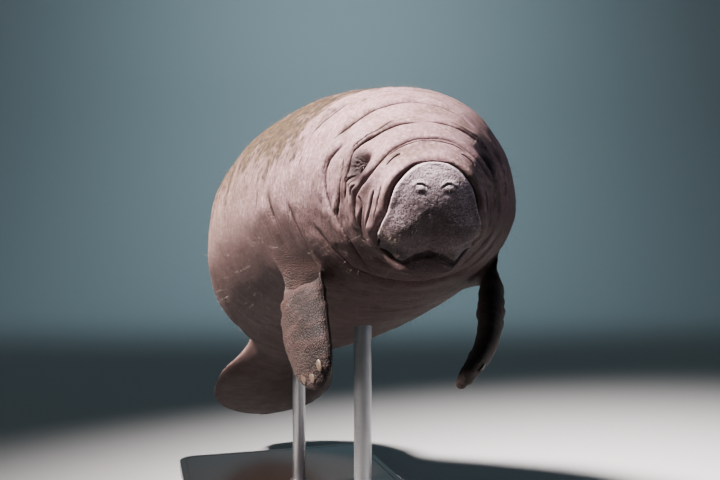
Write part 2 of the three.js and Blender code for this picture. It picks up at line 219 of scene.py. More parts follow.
def grow_flipper(side):
    """Extrudes a patch of the shoulder along the flipper's centre line."""
    sign, root_at, root_turn = FLIPPER_ROOTS[side]
    patch = []
    for face in cage.faces:
        if face.calc_center_median().y > 0 or len(face.verts) != 4:
            continue
        at = sum(v[keep["at"]] for v in face.verts) / 4
        turn = math.degrees(math.atan2(sum(v[keep["across"]] for v in face.verts),
                                       sum(v[keep["high"]] for v in face.verts)))
        if abs(at - root_at) < ROOT_REACH and abs(turn * sign - root_turn) < ROOT_TURN:
            patch.append(face)
    verts = {v for face in patch for v in face.verts}
    ats = [v[keep["at"]] for v in verts]
    angles = {v: sign * math.degrees(math.atan2(v[keep["across"]], v[keep["high"]])) for v in verts}
    low, high = min(angles.values()), max(angles.values())
    for v in verts:
        x = 1 - 2 * (v[keep["at"]] - min(ats)) / (max(ats) - min(ats))
        y = 1 - 2 * (angles[v] - low) / (high - low)
        v[keep["px"]], v[keep["py"]] = x * math.sqrt(1 - y * y / 2), y * math.sqrt(1 - x * x / 2)
        v[keep["along"]] = 0.25
    for row in range(FLIPPER_ROWS + 1):
        t = FLIPPER_STARTS + (1 - FLIPPER_STARTS) * math.sin(math.radians(88 * row / FLIPPER_ROWS))
        place, _, front, inward, half, thick = flipper_frame(side, t)
        made = bmesh.ops.extrude_face_region(cage, geom=patch)["geom"]
        bmesh.ops.delete(cage, geom=patch, context="FACES")
        patch = [item for item in made if isinstance(item, bmesh.types.BMFace)]
        for v in (item for item in made if isinstance(item, bmesh.types.BMVert)):
            v.co = Vector((place + front * v[keep["px"]] * half + inward * v[keep["py"]] * thick) * MM)
            v[keep["limb"]] = 1.0
            v[keep["along"]] = t


grow_flipper("left")
grow_flipper("right")
bmesh.ops.recalc_face_normals(cage, faces=cage.faces)

cage_mesh = bpy.data.meshes.new("skin_cage")
cage.to_mesh(cage_mesh)
cage.free()
cage_object = bpy.data.objects.new("skin_cage", cage_mesh)
bpy.context.scene.collection.objects.link(cage_object)
fine = cage_object.modifiers.new("fine", "SUBSURF")
fine.levels = fine.render_levels = 2
depsgraph = bpy.context.evaluated_depsgraph_get()
skin_mesh = bpy.data.meshes.new_from_object(cage_object.evaluated_get(depsgraph))
bpy.data.objects.remove(cage_object)

# The face needs a finer mesh than the trunk, and the lids the finest.
EYE_AT, EYE_ROUND = 160, 67
eye_spots = [Vector(body_point(EYE_AT, side * EYE_ROUND)[0] * MM) for side in (-1, 1)]
FINER = (
    lambda at, round_, limb, co: at < 330 and limb < 0.1,
    lambda at, round_, limb, co: at < 42 or (at < 205 and round_ < 128),
    lambda at, round_, limb, co: min((co - spot).length for spot in eye_spots) < 26 * MM,
)
dense = bmesh.new()
dense.from_mesh(skin_mesh)
layers = {name: dense.verts.layers.float[name] for name in LAYERS}
for inside in FINER:
    chosen = set()
    for v in dense.verts:
        round_ = abs(math.degrees(math.atan2(v[layers["across"]], v[layers["high"]])))
        if inside(v[layers["at"]], round_, v[layers["limb"]], v.co):
            chosen.add(v)
    edges = [e for e in dense.edges if e.verts[0] in chosen and e.verts[1] in chosen]
    bmesh.ops.subdivide_edges(dense, edges=edges, cuts=1, use_grid_fill=True)
dense.to_mesh(skin_mesh)
dense.free()


def read(mesh, name):
    """A point attribute of the mesh as an array."""
    values = np.zeros(len(mesh.vertices), np.float32)
    mesh.attributes[name].data.foreach_get("value", values)
    return values.astype(float)


def vectors(items, name):
    """A vector property of every item as an array."""
    values = np.zeros(len(items) * 3, np.float32)
    items.foreach_get(name, values)
    return values.reshape(-1, 3).astype(float)


def soft(x, low, high):
    """0 below low, 1 above high, and smooth between."""
    t = np.clip((x - low) / (high - low), 0, 1)
    return t * t * (3 - 2 * t)


def bell(x):
    """1 in the middle, falling off smoothly."""
    return np.exp(-x * x)


at, across, high, limb, along = (read(skin_mesh, name) for name in LAYERS[:5])
turn = np.degrees(np.arctan2(across, high))
size = np.where(at < DISC_RIM, np.clip(np.hypot(across, high), 0, 1), ring_size(at))
at = np.where(at < DISC_RIM, DISC_RIM - DISC_DOME * np.sqrt(1 - size ** 2), at)
exact = body_point(at, turn, size)
base = vectors(skin_mesh.vertices, "co") / MM
base = exact + (base - exact) * soft(limb, 0, 0.7)[:, None]
skin_mesh.vertices.foreach_set("co", (base * MM).astype(np.float32).ravel())

# The flesh flows from the shoulder into the flipper: the points about the join are smoothed together.
JOIN_ROWS, JOIN_SMOOTHING, JOIN_END, JOIN_FADE = 6, 45, 0.75, (0.42, 0.7)
joined = bmesh.new()
joined.from_mesh(skin_mesh)
weight, t_layer = joined.verts.layers.float["limb"], joined.verts.layers.float["along"]
band = {v for v in joined.verts if v[weight] > 0.01 and v[t_layer] < JOIN_END}
for _ in range(JOIN_ROWS):
    band |= {e.other_vert(v) for v in band for e in v.link_edges}
for _ in range(JOIN_SMOOTHING):
    bmesh.ops.smooth_vert(joined, verts=list(band), factor=0.5, use_axis_x=True, use_axis_y=True,
                          use_axis_z=True)
joined.to_mesh(skin_mesh)
joined.free()
base += (vectors(skin_mesh.vertices, "co") / MM - base) * (1 - soft(along, *JOIN_FADE))[:, None]
skin_mesh.vertices.foreach_set("co", (base * MM).astype(np.float32).ravel())
skin_mesh.update()
normal = vectors(skin_mesh.vertex_normals, "vector")

# Places in the head's own directions: aside towards the animal's right, and height over the spine.
spine_points, _, lefts, ups = frame_at(at)
aside = -((base - spine_points) * lefts).sum(1)
height = ((base - spine_points) * ups).sum(1)
bare = 1 - soft(limb, 0, 0.5)
round_ = np.abs(turn)
lift = np.zeros(len(base))
crease_shade = np.zeros(len(base))
fold_gap = np.full(len(base), 30.0)
fold_line_shade = np.zeros(len(base))


def grain(places, seed):
    """Smooth noise round zero, with features about one unit large."""
    return np.array([noise.noise(place) for place in (places + seed).tolist()])


def disc_place(side, high):
    """Distance and turn of a point of the disc given in millimetres across and above its middle."""
    wide, tall = width_at(DISC_RIM), above_at(DISC_RIM) if high > 0 else below_at(DISC_RIM)
    full = full_at(DISC_RIM) if high > 0 else full_below_at(DISC_RIM)
    a, b = (abs(side) / wide) ** full, (abs(high) / tall) ** full
    r = min(1.0, (a + b) ** (1 / full))
    turn = math.degrees(math.atan2(math.sqrt(a), math.copysign(math.sqrt(b), high)))
    return DISC_RIM - DISC_DOME * math.sqrt(1 - r * r), math.copysign(turn, side)


def lay_fold(line, depth, half, behind=(0, 10), ahead=(0, 10), taper=0.2, dark=1.0):
    """Presses a crease along a line of places (distance, turn), with a roll of flesh behind and ahead of
    it, each given by its height and its distance from the crease. Both ends taper off. The crease gets
    painted shade: a soft band along it, and a thin line down its middle that the paint draws from the
    distance kept in fold_gap, as a share of the half width."""
    line = sorted(line, key=lambda place: -place[1]) if line[0][1] < line[-1][1] else list(line)
    curve = [catmull([(s, angle, 0) for s, angle in line], t)[0] for t in np.linspace(0, 1, 6 * len(line))]
    curve = np.array(curve)[:, :2]
    path = body_point(np.clip(curve[:, 0], 0, PADDLE_TIP), curve[:, 1])
    reach = 3 * max(half, behind[1], ahead[1])
    near = np.all((base > path.min(0) - reach) & (base < path.max(0) + reach), axis=1) & (bare > 0)
    index = np.nonzero(near)[0]
    start, step = path[:-1], np.diff(path, axis=0)
    offset = base[index][:, None] - start
    t = np.clip((offset * step).sum(-1) / (step ** 2).sum(-1), 0, 1)
    gap = offset - t[..., None] * step
    apart = (gap ** 2).sum(-1)
    best = apart.argmin(1)
    pick = np.arange(len(index))
    far = np.sqrt(apart[pick, best])
    run = (best + t[pick, best]) / len(step)
    onward = np.diff(curve, axis=0)[best]
    beyond = at[index] - curve[best, 0], (turn[index] - curve[best, 1] + 180) % 360 - 180
    side = np.sign(onward[:, 0] * beyond[1] - onward[:, 1] * beyond[0])
    fade = soft(run, 0, taper) * soft(1 - run, 0, taper) * bare[index]
    fade *= 1 + 0.5 * grain(base[index] / 28, 3.3)
    roll = np.where(side > 0, behind[0], ahead[0])
    x = far / np.where(side > 0, behind[1], ahead[1])
    lift[index] += fade * (roll * x * np.exp(0.5 * (1 - x * x)) - depth * bell(far / half))
    # A soft band of painted shade along the crease.
    crease_shade[index] = np.maximum(crease_shade[index], dark * fade * bell(far / (0.7 * half)))
    # A thin line of painted shade down the crease's middle.
    line_shade = 2.0 * dark * fade * (1 - soft(far, 3, max(9, 3 * half)))
    nearest = np.minimum(line_shade, 1) > fold_line_shade[index]
    fold_gap[index[nearest]] = (side * far)[nearest] / min(half, 6)
    fold_line_shade[index[nearest]] = np.minimum(line_shade, 1)[nearest]


def both_sides(line):
    """The same line on the animal's left."""
    return [(s, -angle) for s, angle in reversed(line)]


# The face's great folds, from the photo. The groove round the muzzle's disc and the line of the brow run
# over the top from cheek to cheek.
DISC_EDGE = ((91, -9), (87, 12), (82, 31), (74, 48), (63, 62), (49, 76), (28, 88), (8, 91))
DISC_GROOVE = [(118, 138), (96, 129), (78, 119), (62, 111), (48, 103)]
DISC_GROOVE += [disc_place(side, high) for side, high in DISC_EDGE]
BROW_LINE = [(162, 128), (150, 117), (148, 110), (144, 100), (140, 91), (126, 84), (112, 77), (98, 70),
             (90, 59), (88, 46), (92, 28), (96, 12)]
MOUTH_LINE = [(176, 126), (135, 135), (98, 147), (72, 163), (60, 180)]
lay_fold(DISC_GROOVE + both_sides(DISC_GROOVE), 7, 4.5, behind=(4, 14), ahead=(2.5, 8), taper=0.06)
lay_fold(BROW_LINE + both_sides(BROW_LINE), 6, 4, behind=(5, 18), ahead=(3, 12), taper=0.06)
lay_fold(MOUTH_LINE + [(s, 360 - angle) for s, angle in reversed(MOUTH_LINE[:-1])], 8, 4.5,
         behind=(2, 12), ahead=(4, 12), taper=0.1)

# Folds of the cheek, the eye's corner, the neck and the shoulder, which come on both sides. Each is given as
# its line, its depth and half width, and the rolls of flesh behind and ahead of it.
SIDE_FOLDS = {
    "disc groove's side": (DISC_GROOVE[:9], 5, 5, (3, 12), (1, 8)),
    "brow line beside the eye": (BROW_LINE[1:9], 7, 5, (3, 12), (3, 10)),
    "outer cheek ridge": ([(140, 118), (124, 106), (112, 98), (110, 92), (118, 87)], 6, 3.2, (3, 6), (3, 6)),
    "middle cheek ridge": ([(104, 118), (92, 106), (82, 96), (73, 88), (71, 78)], 6, 3.4, (3, 6), (3, 7)),
    "inner cheek ridge": ([(58, 100), (53, 90), (50, 82), (53, 70)], 3.5, 3, (2, 5), (2, 5)),
    "snout line": ([(66, 50), (68, 39), (68, 28)], 1.8, 2.4, (1, 6), (1, 6)),
    "behind the eye": ([(192, 96), (190, 88), (192, 77), (198, 67), (205, 59), (194, 50), (180, 39),
                        (174, 25), (172, 12), (170, 0)], 6, 4.4, (4, 14), (2, 9)),
    "eye corner upper": ([(196, 82), (180, 78), (166, 74)], 3, 2.6, (1.5, 6), (1, 5)),
    "eye corner middle": ([(176, 85), (160, 80), (146, 76)], 3.2, 2.6, (1.5, 6), (1, 5)),
    "eye corner lower": ([(158, 90), (146, 84), (136, 80)], 3, 2.4, (1.5, 6), (1, 5)),
    "cheek fold": ([(226, 106), (220, 100), (210, 87), (212, 75), (222, 64)], 4.5, 4.5, (3, 11), (2, 9)),
    "jowl fold": ([(290, 156), (238, 132), (232, 117), (244, 104), (266, 88), (276, 76), (268, 65),
                   (246, 54)], 8, 5.5, (6, 24), (4, 18)),
    "temple line": ([(212, 56), (206, 50), (188, 32), (190, 18)], 2.6, 2.8, (1.5, 8), (1, 8)),
    "throat fold": ([(330, 150), (318, 135), (322, 120), (340, 108)], 5, 7, (4, 20), (3, 18)),
    "neck fold": ([(424, 130), (402, 116), (404, 102), (416, 92)], 5, 7, (4, 24), (3, 20)),
    "shoulder fold": ([(512, 120), (498, 108), (500, 96), (516, 84)], 5, 10, (4, 30), (3, 26)),
}
for line, depth, half, behind, ahead in SIDE_FOLDS.values():
    for way in (line, both_sides(line)):
        lay_fold(way, depth, half, behind, ahead, dark=0.5 if half > 6 else 1.0)

# Folds across the top and the throat, and short scratches on the right side.
TOP_FOLDS = {
    "second brow line": ([(78, 44), (84, 22), (86, 4), (84, -16), (78, -36)], 2, 2.4, (1, 6), (1, 6)),
    "nape crease": ([(300, 58), (279, 44), (276, 31), (271, 14), (272, 2), (262, -9), (256, -25), (252, -40)],
                    6, 5.5, (5, 22), (2, 16)),
    "second nape crease": ([(394, 62), (378, 34), (370, 4), (376, -30), (392, -58)], 4, 9, (5, 34), (3, 30)),
    "chin crease": ([(210, 216), (206, 198), (204, 180), (206, 162), (210, 144)], 6, 8, (4, 20), (3, 16)),
    "throat crease": ([(330, 220), (322, 200), (320, 180), (322, 160), (330, 140)], 5, 10, (4, 30), (3, 24)),
}
for line, depth, half, behind, ahead in TOP_FOLDS.values():
    lay_fold(line, depth, half, behind, ahead, taper=0.12, dark=0.5 if half > 6 else 1.0)
SCRATCHES = ([(424, 63), (421, 56)], [(384, 76), (380, 68)], [(578, 93), (574, 84)], [(700, 62), (670, 58)])
for line in SCRATCHES:
    lay_fold(line, 1.2, 2.4, dark=0.8)

# The disc of the muzzle: two great lip pads with a cleft between them turn under below the nostrils, and
# its face is pitted where the bristles grow.
edge_turn, edge_at = zip(*sorted((angle, s) for s, angle in DISC_GROOVE))
mouth_turn, mouth_at = zip(*sorted((angle, s) for s, angle in MOUTH_LINE))
limit = np.minimum(np.interp(round_, edge_turn, edge_at, right=1e3),
                   np.interp(round_, mouth_turn, mouth_at, left=1e3))
disc = soft(limit - at, -2, 5)
under_nose = soft((26 - height) * 0.95 - np.hypot(aside, 14), 0, 60)
pads = np.hypot((np.abs(aside) - 34) / 22, (height + 56) / 26)
flews = np.hypot((np.abs(aside) - 70) / 24, (height + 38) / 34)
cleft = bell(aside / 6) * soft(-height, 5, 40)
corner = soft(np.abs(aside), 50, 98) * soft(-height, 55, 100) * (1 - soft(at, 70, 130))
hang = disc * bell((np.abs(aside) - 46) / 26) * soft(-height, 66, 98)
lift += disc * (5 * bell(pads) + 5 * bell(flews) - 8 * under_nose - 5 * cleft) + 5 * hang - 14 * corner
lift += disc * 2.2 * bell(np.hypot(aside / 16, (height - 86) / 2.6))
# Painted shade in the cleft.
crease_shade = np.maximum(crease_shade, 0.7 * disc * cleft)

# Nostrils: each a slit arched over a pale valve, with a raised rim.
NOSTRIL = {"aside": 27, "height": 44, "arch": 7.5}
for side in (-1, 1):
    x, y = aside - side * NOSTRIL["aside"], height - NOSTRIL["height"]
    away = np.hypot(x * 0.8, y + 3)
    arch = soft(y - 0.3 * side * x, 0.5, 3.5)
    slit = disc * bell((away - NOSTRIL["arch"]) / 1.2) * arch
    rim = bell((away - NOSTRIL["arch"] - 4) / 3.2) * soft(y, -4, 4)
    valve = bell(np.hypot(x / 1.5, y + 4) / 6)
    lift += disc * (1.6 * rim + 2.3 * valve - 0.6 * bell(np.hypot(x / 2, y + 14) / 4))
    lift -= 4 * slit
    # Painted shade in the nostril's slit.
    crease_shade = np.maximum(crease_shade, 1.2 * slit)

disc_index = np.nonzero(disc > 0.05)[0]
pits = np.zeros(len(base))
PIT_SPACING, LUMP_SPACING = 5.5, 9.0
for i in disc_index:
    place = base[i]
    near, _ = noise.voronoi(Vector((place[0], place[1], place[2])) / PIT_SPACING)
    lump, _ = noise.voronoi(Vector((place[0], place[1], place[2] * 0.7)) / LUMP_SPACING)
    low = 0.35 + 0.65 * min(1.0, max(0.0, (20 - height[i]) / 60))
    pits[i] = -0.5 * math.exp(-(near[0] / 0.36) ** 2) + low * 1.2 * (0.5 - lump[0])
lift += disc * pits

# The chin: a pad under the mouth.
CHIN = {"at": 126, "below": 108, "half": 100, "length": 96, "tall": 50}
inside = 1 - (aside / CHIN["half"]) ** 2 - ((at - CHIN["at"]) / CHIN["length"]) ** 2
chin_low = -(CHIN["below"] + CHIN["tall"] * soft(inside, -0.1, 1))
drop = np.clip(height - chin_low, 0, None) * soft(at, 50, 84) * soft(inside, 0, 0.45)
drop = np.where(height < 0, drop, 0) * soft(-height, 50, 85)

# Eyes: small balls deep in a hollow, with a ring of lid and wrinkles all round, and painted shade over the
# hollow.
EYE_BALL, HOLLOW, HOLLOW_SIZE = 10.5, 13, 22
eye_hollow_shade = np.zeros(len(base))
eyes = {}
for side, sign in (("left", -1), ("right", 1)):
    low, high_corner = (np.array(corner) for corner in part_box(f"eye_{side}"))
    centre = (low + high_corner) / 2 / MM
    spine_point, tailward, _, _ = (part[0] for part in frame_at(np.array([float(EYE_AT)])))
    axis = centre - spine_point
    axis /= np.linalg.norm(axis)
    back = tailward - axis * (tailward @ axis)
    back /= np.linalg.norm(back)
    eyes[side] = centre, axis
    offset = base - centre
    facing = (offset @ axis) > -10
    x, y = offset @ back, offset @ np.cross(axis, back)
    ring = np.hypot(x, y)
    lid = np.hypot(x / 1.12, y / 0.9)
    angle = np.arctan2(y, x)
    near = facing & (ring < 90)
    wave = np.zeros(len(base))
    wave[near] = np.cos(11 * angle[near] + 5 * grain(base[near] / 25, 8.1))
    shape = -HOLLOW * bell(ring / HOLLOW_SIZE) + 4 * bell((lid - 8.8) / 2.2) - 7 * (1 - soft(lid, 4.2, 6.6))
    shape += 5 * bell(np.hypot(x + 6, y - sign * 34) / 16) - 4 * bell(np.hypot(x, y - sign * 12) / 14)
    shape += 0.8 * wave * bell((lid - 19) / 7)
    shape -= 1.2 * bell((lid - 13.5) / 1.3) + 1.1 * bell((lid - 18.5) / 1.5)
    shape -= 11 * bell(np.hypot(x + 8, y + sign * 16) / 20)
    lift += np.where(near, shape, 0)
    # Where the hollow gets its painted shade, a patch wider than the hollow itself.
    from_pit = np.hypot(0.8 * x + 4, y + sign * 3)
    eye_hollow_shade = np.maximum(eye_hollow_shade, np.where(near, 1 - soft(from_pit, 24, 50), 0))

# The hide everywhere: fine lines that cross the body, soft pleats, and lumps of flesh under it.
local = np.stack([at, aside, height], 1)
thin = bell(grain(local / (15, 75, 75), 1.7) / 0.1)
thinner = bell(grain(local / (9, 40, 40), 5.2) / 0.12)
pleat = bell(grain(local / (34, 190, 190), 9.4) / 0.09)
lumps = grain(base / 170, 4.4)
bumps = grain(base / 55, 7.7)
head_side = soft(at, 95, 190) * (1 - soft(at, 420, 700)) * soft(round_, 25, 75) * (1 - disc)
trunk = soft(at, 330, 700)
lift -= bare * (0.9 * thin * (0.35 + 0.65 * head_side) * soft(at, 60, 120) + 0.6 * thinner * head_side)
lift += bare * (trunk * (6 * lumps - 1.6 * pleat) + 1.6 * bumps * soft(at, 60, 200))
# Painted shade in the fine lines of the head and in the trunk's pleats.
crease_shade = np.maximum(crease_shade, bare * 0.35 * np.maximum(thin * head_side, trunk * pleat * 0.7))

# Flippers: creases across the wrist and elbow, and wrinkled hide.
FLIPPER_LENGTH = 440
limb_places = np.stack([along * FLIPPER_LENGTH, aside, height], 1)
across_lines = bell(grain(limb_places / (15, 90, 90), 2.9) / 0.13)
on_limb = soft(limb, 0.2, 0.9)
joints = bell((along - 0.44) / 0.06) + bell((along - 0.58) / 0.05)
lift -= on_limb * across_lines * (1.8 + 3.5 * joints)
lift += on_limb * 1.5 * grain(base / 40, 6.1)
# Painted shade in the flipper's creases.
crease_shade = np.maximum(crease_shade, on_limb * across_lines * (0.6 + 0.4 * joints))

COAT_DEPTH = 1.5
shaped = base + normal * (lift - COAT_DEPTH)[:, None] - ups * drop[:, None]
skin_mesh.vertices.foreach_set("co", (shaped * MM).astype(np.float32).ravel())
skin_mesh.update()
skin_mesh.shade_smooth()
skin_normal = vectors(skin_mesh.vertex_normals, "vector")

# What the paint follows, kept on the skin's points: the folds' distance and the strength of their painted
# shade, the painted shade in the pits of the disc and in the eye's hollow, the wrinkles, the film on the
# back, the head, the painted shade on the underside, and the flippers, darker partly in their own colour and
# partly with painted shade, with more painted shade on their leading halves.
MARKS = {
    "crease_shade": np.clip(crease_shade, 0, 1),
    "disc": disc * bare,
    # Painted shade in the disc's pits, stronger towards its lower half.
    "pitted": disc * bare * (0.4 + 0.6 * soft(-height, -60, 10)),
    "eye_hollow_shade": eye_hollow_shade,
    "fold_gap": fold_gap,
    "fold_line_shade": np.clip(fold_line_shade, 0, 1),
    "wrinkled": np.clip(head_side + 0.5 * trunk, 0, 1) * bare * (1 - eye_hollow_shade),
    "algae": soft(at, 230, 560) * (1 - soft(at, 2200, 2700)) * (1 - soft(round_, 55, 105)) * bare,
    "face": (1 - soft(at, 260, 900)) * bare,
    # Painted shade on the skin that faces downwards.
    "under": soft(-skin_normal[:, 2], -0.5, 0.4),
    "limb": on_limb,
    # Painted shade on each flipper's leading half.
    "leading": on_limb * soft(read(skin_mesh, "px"), -0.5, 0.5),
}
for name, values in MARKS.items():
    skin_mesh.attributes.new(name, "FLOAT", "POINT").data.foreach_set("value", values.astype(np.float32))


def hexcolor(text):
    """An sRGB hex colour as linear RGBA."""
    parts = [int(text[i:i + 2], 16) / 255 for i in (1, 3, 5)]
    return tuple(c / 12.92 if c <= 0.04045 else ((c + 0.055) / 1.055) ** 2.4 for c in parts) + (1.0,)


def add_node(tree, kind, settings=None, inputs=None):
    """A shader node with its settings and inputs. An input is named, or numbered among those in use, and is
    given as a value, or as a node or a socket to link."""
    node = tree.nodes.new("ShaderNode" + kind)
    for key, value in (settings or {}).items():
        setattr(node, key, value)
    live = [socket for socket in node.inputs if socket.enabled]
    for key, value in (inputs or {}).items():
        socket = live[key] if isinstance(key, int) else next(s for s in live if s.name == key)
        if isinstance(value, bpy.types.Node):
            value = next(out for out in value.outputs if out.enabled)
        if isinstance(value, bpy.types.NodeSocket):
            tree.links.new(value, socket)
        else:
            socket.default_value = value
    return node


def new_material(name):
    """An empty node material and its tree."""
    material = bpy.data.materials.new(name)
    material.use_nodes = True
    material.node_tree.nodes.clear()
    return material, material.node_tree


# Hide: thick, matt and finely netted with wrinkles, pinkish grey with brown mottling, with a film of ochre
# algae on the back. Painted shade darkens its folds, wrinkles, the net's grooves, the disc's pits, the eye's
# hollow, the underside and the flippers' leading halves; the flippers are darker partly in their own colour
# and partly with painted shade. The disc is pale, pink and pitted. The mottling is about 55 mm across and
# the specks 8 mm.
hide, tree = new_material("manatee_hide_painted_resin")
spot = add_node(tree, "TexCoord").outputs["Object"]
mark = {}
for name in MARKS:
    mark[name] = add_node(tree, "Attribute", {"attribute_name": name}).outputs["Fac"]
MIX = {"data_type": "RGBA"}
MULTIPLY = {"operation": "MULTIPLY"}
MULTIPLY_ADD = {"operation": "MULTIPLY_ADD"}
SMOOTH = {"interpolation_type": "SMOOTHSTEP"}

broad = add_node(tree, "TexNoise", None, {"Vector": spot, "Scale": 1 / 0.4, "Detail": 5.0})
mottle = add_node(tree, "TexNoise", None, {"Vector": spot, "Scale": 1 / 0.055, "Detail": 6.0,
                                           "Roughness": 0.65})
speck = add_node(tree, "TexNoise", None, {"Vector": spot, "Scale": 1 / 0.008, "Detail": 4.0,
                                          "Roughness": 0.6})
grit = add_node(tree, "MapRange", None, {0: speck, 1: 0.5, 2: 0.32, 3: 0.0, 4: 0.55})
broad_mask = add_node(tree, "MapRange", None, {0: broad, 1: 0.38, 2: 0.62})
colour = add_node(tree, "Mix", MIX, {0: broad_mask, 1: hexcolor("#64504a"), 2: hexcolor("#8c706b")})
mottle_mask = add_node(tree, "MapRange", None, {0: mottle, 1: 0.44, 2: 0.64, 4: 0.7})
speck_mask = add_node(tree, "MapRange", None, {0: speck, 1: 0.53, 2: 0.75, 4: 0.5})

# The algae grow in streaks across the back, broken into flecks about 16 mm apart.
streak_spot = add_node(tree, "Mapping", None, {"Vector": spot, "Scale": (1.0, 2.2, 1.0)})
streak = add_node(tree, "TexNoise", None, {"Vector": streak_spot, "Scale": 1 / 0.11, "Detail": 10.0,
                                           "Roughness": 0.78})
flecks = add_node(tree, "TexNoise", None, {"Vector": spot, "Scale": 1 / 0.016, "Detail": 5.0,
                                           "Roughness": 0.7})
film = add_node(tree, "Math", MULTIPLY_ADD, {0: flecks, 1: 0.5, 2: streak})
film = add_node(tree, "Math", MULTIPLY_ADD, {0: mark["algae"], 1: 0.3, 2: film})
algae = add_node(tree, "MapRange", None, {0: film, 1: 0.88, 2: 1.03, 4: 0.95})
tuft = add_node(tree, "MapRange", None, {0: flecks, 1: 0.42, 2: 0.58})
ochre = add_node(tree, "Mix", MIX, {0: tuft, 1: hexcolor("#4a3c1c"), 2: hexcolor("#191307")})
# How much of the flippers' darkening covers, in mottled patches: partly their own darker colour, partly
# painted shade.
limb_dirt_and_shade = add_node(tree, "MapRange", None, {0: mottle, 1: 0.35, 2: 0.65, 3: 0.95, 4: 0.7})

# The net of wrinkles is about 7 mm across, drawn out of line by a noise, with painted shade along its
# grooves.
warp = add_node(tree, "TexNoise", None, {"Vector": spot, "Scale": 1 / 0.03, "Detail": 2.0})
warped = add_node(tree, "Mix", MIX, {0: 0.008, 1: spot, 2: warp.outputs["Color"]})
net = add_node(tree, "TexVoronoi", {"feature": "DISTANCE_TO_EDGE"}, {"Vector": warped, "Scale": 1 / 0.007})
net_height = add_node(tree, "MapRange", SMOOTH, {0: net, 1: 0.0, 2: 0.22})
net_groove_shade = add_node(tree, "MapRange", None, {0: net, 1: 0.0, 2: 0.12, 3: 0.12, 4: 0.0})

# Bristle pits on the disc, about 4 mm apart, darkened with painted shade that grows stronger on the lower
# disc.
pore = add_node(tree, "TexVoronoi", {"feature": "F1"}, {"Vector": spot, "Scale": 1 / 0.0037})
pore_height = add_node(tree, "MapRange", SMOOTH, {0: pore, 1: 0.2, 2: 0.55})
pore_shade = add_node(tree, "MapRange", None, {0: pore, 1: 0.24, 2: 0.45, 3: 0.95, 4: 0.0})

# Fine wrinkles that cross the body, about 5 mm and 11 mm apart: the lines where a noise drawn out round
# the body passes its middle value. They are pressed in by the bump and darkened with painted shade.
round_body = add_node(tree, "Mapping", None, {"Vector": spot, "Scale": (1 / 0.05, 1 / 0.2, 1 / 0.05)})
at_spot = add_node(tree, "Attribute", {"attribute_name": "at"}).outputs["Fac"]
wrinkles = None
for apart in (5, 11):
    rows = add_node(tree, "Math", MULTIPLY, {0: at_spot, 1: 1 / apart})
    rows = add_node(tree, "CombineXYZ", None, {"Y": rows})
    rows = add_node(tree, "VectorMath", {"operation": "ADD"}, {0: round_body, 1: rows})
    wave = add_node(tree, "TexNoise", None, {"Vector": rows, "Scale": 1.0, "Detail": 2.0})
    away = add_node(tree, "Math", {"operation": "SUBTRACT"}, {0: wave, 1: 0.5})
    away = add_node(tree, "Math", {"operation": "ABSOLUTE"}, {0: away})
    line = add_node(tree, "MapRange", None, {0: away, 1: 0.0, 2: 0.045, 3: 1.0, 4: 0.0})
    if wrinkles is not None:
        line = add_node(tree, "Math", {"operation": "MAXIMUM"}, {0: wrinkles, 1: line})
    wrinkles = line
wrinkles = add_node(tree, "Math", MULTIPLY, {0: wrinkles, 1: mark["wrinkled"]})

# Folds: a thin line of painted shade down the middle of each, also pressed in as a groove by the bump.
gap = add_node(tree, "Math", {"operation": "ABSOLUTE"}, {0: mark["fold_gap"]})
fold = add_node(tree, "MapRange", SMOOTH, {0: gap, 1: 0.25, 2: 1.0, 3: 1.0, 4: 0.0})
fold = add_node(tree, "Math", MULTIPLY, {0: fold, 1: mark["fold_line_shade"]})

# The coats of paint, each laid over the last: what it follows, how much of that it covers, and its colour.
COATS = (
    (mark["face"], 0.75, hexcolor("#ae8c94")),
    (mottle_mask, 1.0, hexcolor("#6c594e")),
    (grit, 1.0, hexcolor("#5b453f")),
    (speck_mask, 1.0, hexcolor("#d8cbc6")),
    (mark["disc"], 0.9, hexcolor("#f2dde8")),
    (algae, 1.0, ochre),
    # Painted shade on the underside, by how far the skin faces down.
    (mark["under"], 0.94, hexcolor("#2d2120")),
    # The flippers darkened, partly their own darker colour and partly painted shade.
    (mark["limb"], limb_dirt_and_shade, hexcolor("#1e1613")),
    # Near-black painted shade on the flippers' leading halves.
    (mark["leading"], 0.75, hexcolor("#0d0909")),
    # Painted shade along the net's grooves.
    (net_groove_shade, 1.0, hexcolor("#54443e")),
    # Painted shade in the bristle pits.
    (pore_shade, mark["pitted"], hexcolor("#3d2a30")),
    # Painted shade in the fine wrinkles.
    (wrinkles, 0.45, hexcolor("#54403c")),
    # Soft painted shade in the creases, the nostril slits, the cleft, the lines and the pleats.
    (mark["crease_shade"], 0.6, hexcolor("#46332f")),
    # The thin line of painted shade down each fold.
    (fold, 0.95, hexcolor("#1d1212")),
    # Near-black painted shade in the eye's hollow.
    (mark["eye_hollow_shade"], 0.97, hexcolor("#1a0d0c")),
)
for mask, share, tone in COATS:
    cover = add_node(tree, "Math", MULTIPLY, {0: mask, 1: share})
    colour = add_node(tree, "Mix", MIX, {0: cover, 1: colour, 2: tone})

